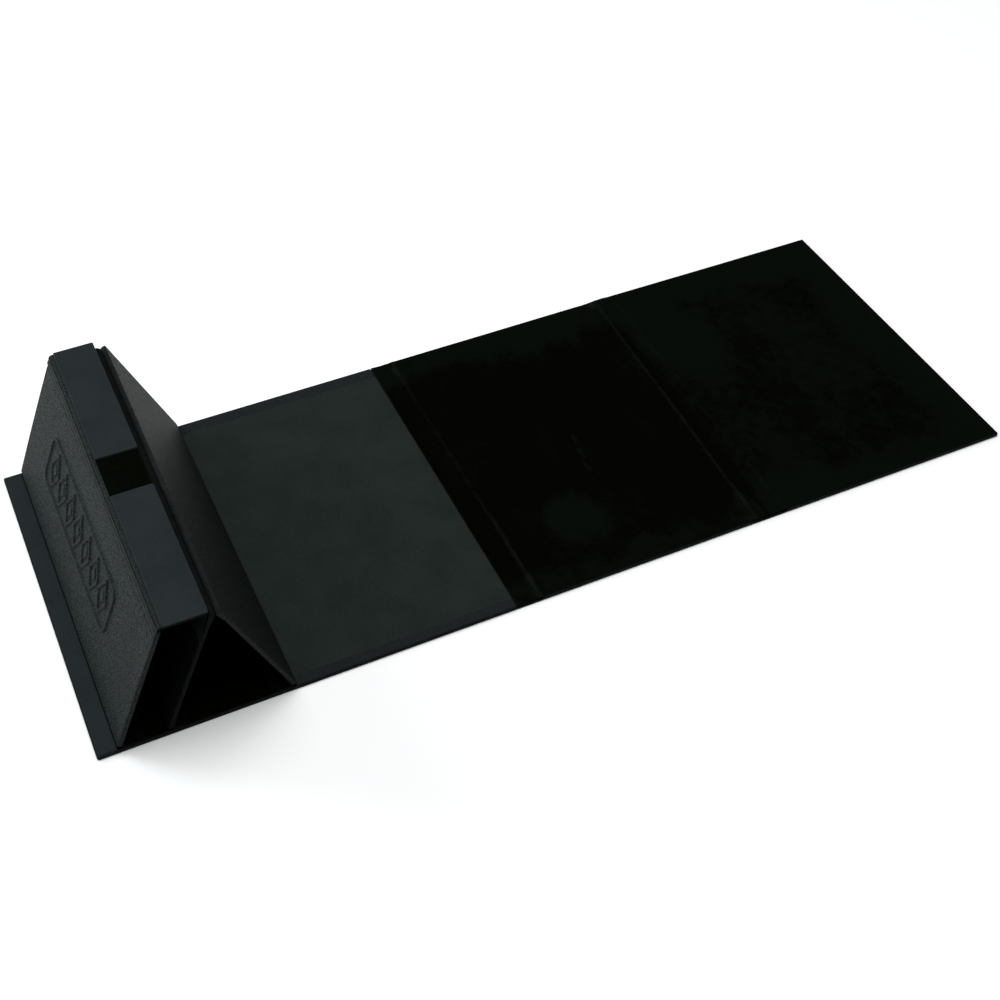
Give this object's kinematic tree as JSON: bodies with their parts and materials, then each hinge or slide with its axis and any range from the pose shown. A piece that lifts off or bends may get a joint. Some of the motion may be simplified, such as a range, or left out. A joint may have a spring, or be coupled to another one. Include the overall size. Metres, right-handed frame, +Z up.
{
  "type": "folding rest with fold-out mat",
  "caption": "Book-bound folding rest with a slanted hollow trapezium support at one end and a hinged, suede-lined mat that folds out flat beside it.",
  "frame": {"origin": "on the floor, in the middle of the unfolded length and of the depth", "axes": "+X along the mat away from the rest, +Y along the depth, +Z up"},
  "size_m": [0.7696, 0.3, 0.1141],
  "materials": {
    "leatherette": "satin",
    "grey_paper": "matte",
    "black_suede": "matte",
    "greyboard": "matte",
    "hinge_cloth": "matte",
    "magnet": "polished",
    "disc_steel": "satin"
  },
  "bodies": {
    "base": {"base_cover": "leatherette", "base_board": "greyboard", "flange_liner": "grey_paper", "rest_floor_lining": "black_suede", "grey_panel_liner": "grey_paper", "left_foot_tab": "hinge_cloth", "partition_foot_tab": "hinge_cloth", "prop_foot_tab": "hinge_cloth"},
    "left_panel": {"left_panel_cover": "leatherette", "left_panel_board": "greyboard", "left_panel_lining": "black_suede"},
    "top": {"top_lining": "black_suede", "top_board": "greyboard", "top_hinge_band": "leatherette", "window_pad": "black_suede", "top_block_wrap_front": "grey_paper", "top_block_board_front": "greyboard", "top_block_wrap_back": "grey_paper", "top_block_board_back": "greyboard"},
    "partition": {"partition_cover": "leatherette", "partition_board": "greyboard", "partition_lining": "black_suede", "partition_top_flap": "hinge_cloth", "partition_steel_disc_1": "disc_steel", "partition_steel_disc_2": "disc_steel", "partition_steel_disc_3": "disc_steel"},
    "prop": {"prop_cover": "leatherette", "prop_board": "greyboard", "prop_lining": "black_suede", "prop_magnet_1": "magnet", "prop_magnet_2": "magnet", "prop_magnet_3": "magnet"},
    "inner_hinge": {"inner_hinge_cover": "leatherette", "inner_hinge_lining": "black_suede"},
    "inner_mat": {"inner_mat_cover": "leatherette", "inner_mat_board": "greyboard", "inner_mat_lining": "black_suede", "outer_hinge_cover_near": "leatherette", "outer_hinge_lining_near": "black_suede"},
    "outer_mat": {"outer_hinge_cover_far": "leatherette", "outer_hinge_lining_far": "black_suede", "outer_mat_cover": "leatherette", "outer_mat_board": "greyboard", "outer_mat_lining": "black_suede"}
  },
  "joints": [
    {"name": "rest_fold", "type": "hinge", "parent": "base", "child": "left_panel", "pos_m": [-0.36675, 0, 0.0043], "axis": [0, 1, 0], "range_deg": [0, 58.4]},
    {"name": "top_hinge", "type": "hinge", "parent": "left_panel", "child": "top", "pos_m": [-0.32483, 0, 0.10875], "axis": [0, 1, 0], "range_deg": [-58.4, 0]},
    {"name": "partition_fold", "type": "hinge", "parent": "base", "child": "partition", "pos_m": [-0.33055, 0, 0.0043], "axis": [0, 1, 0], "range_deg": [0, 58.4]},
    {"name": "prop_fold", "type": "hinge", "parent": "base", "child": "prop", "pos_m": [-0.23815, 0, 0.0057], "axis": [0, 1, 0], "range_deg": [0, 110.96]},
    {"name": "mat_fold", "type": "hinge", "parent": "base", "child": "inner_hinge", "pos_m": [-0.06255, 0, 0.0012], "axis": [0, -1, 0], "range_deg": [0, 82.5]},
    {"name": "inner_mat_hinge", "type": "hinge", "parent": "inner_hinge", "child": "inner_mat", "pos_m": [-0.04245, 0, 0.0012], "axis": [0, -1, 0], "range_deg": [0, 82.5]},
    {"name": "outer_mat_hinge", "type": "hinge", "parent": "inner_mat", "child": "outer_mat", "pos_m": [0.16125, 0, 0], "axis": [0, -1, 0], "range_deg": [-165, 0]}
  ],
  "couplings": [
    {"joint": "top_hinge", "follows": "rest_fold", "ratio": -1},
    {"joint": "partition_fold", "follows": "rest_fold", "ratio": 1},
    {"joint": "prop_fold", "follows": "rest_fold", "ratio": 1.9},
    {"joint": "inner_mat_hinge", "follows": "mat_fold", "ratio": 1},
    {"joint": "outer_mat_hinge", "follows": "mat_fold", "ratio": -2}
  ]
}
